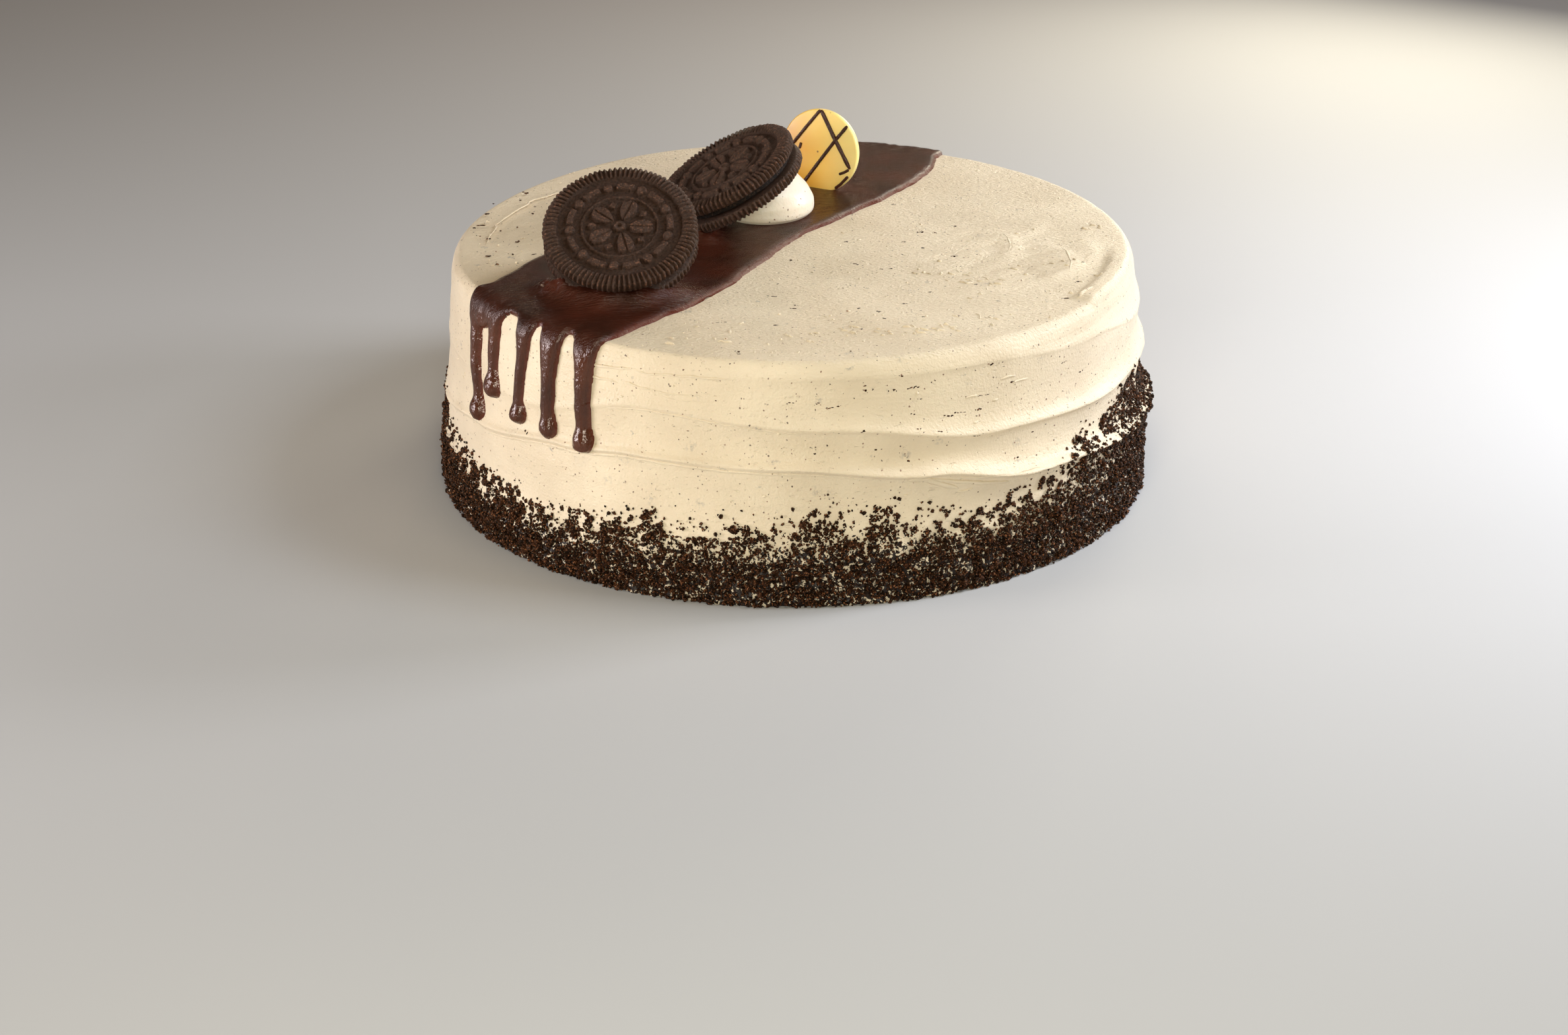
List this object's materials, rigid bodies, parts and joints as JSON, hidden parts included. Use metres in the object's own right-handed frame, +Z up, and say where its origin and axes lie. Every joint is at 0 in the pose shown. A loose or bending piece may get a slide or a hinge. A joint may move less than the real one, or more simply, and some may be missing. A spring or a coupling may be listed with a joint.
{
  "type": "cookies and cream cake",
  "caption": "Round frosted layer cake with crumbs round its foot, a band of dripping ganache, leaning sandwich cookies on cream and a white chocolate disc.",
  "frame": {"origin": "centre of the cake's flat base, on the surface it stands on", "axes": "+Z up; -Y towards the viewer, the side on which the ganache drips hang at the left; +X to the viewer's right"},
  "size_m": [0.2168, 0.2169, 0.1039],
  "materials": {
    "frosting": "soft satin cream frosting with dark specks",
    "ganache": "glossy dark chocolate",
    "cookie_wafer": "matte baked dark cocoa",
    "cookie_filling": "matte, very dark and crumbly",
    "cream": "smooth satin whipped cream",
    "white_chocolate": "smooth pale yellow with dark lines"
  },
  "bodies": {
    "root": {"frosted_cake": "frosting", "ganache_band": "ganache", "cookie_front_top_wafer": "cookie_wafer", "cookie_front_bottom_wafer": "cookie_wafer", "cookie_front_filling": "cookie_filling", "cookie_back_top_wafer": "cookie_wafer", "cookie_back_bottom_wafer": "cookie_wafer", "cookie_back_filling": "cookie_filling", "cream_dollop_back": "cream", "cream_dollop_front": "cream", "white_chocolate_disc": "white_chocolate"}
  },
  "joints": []
}
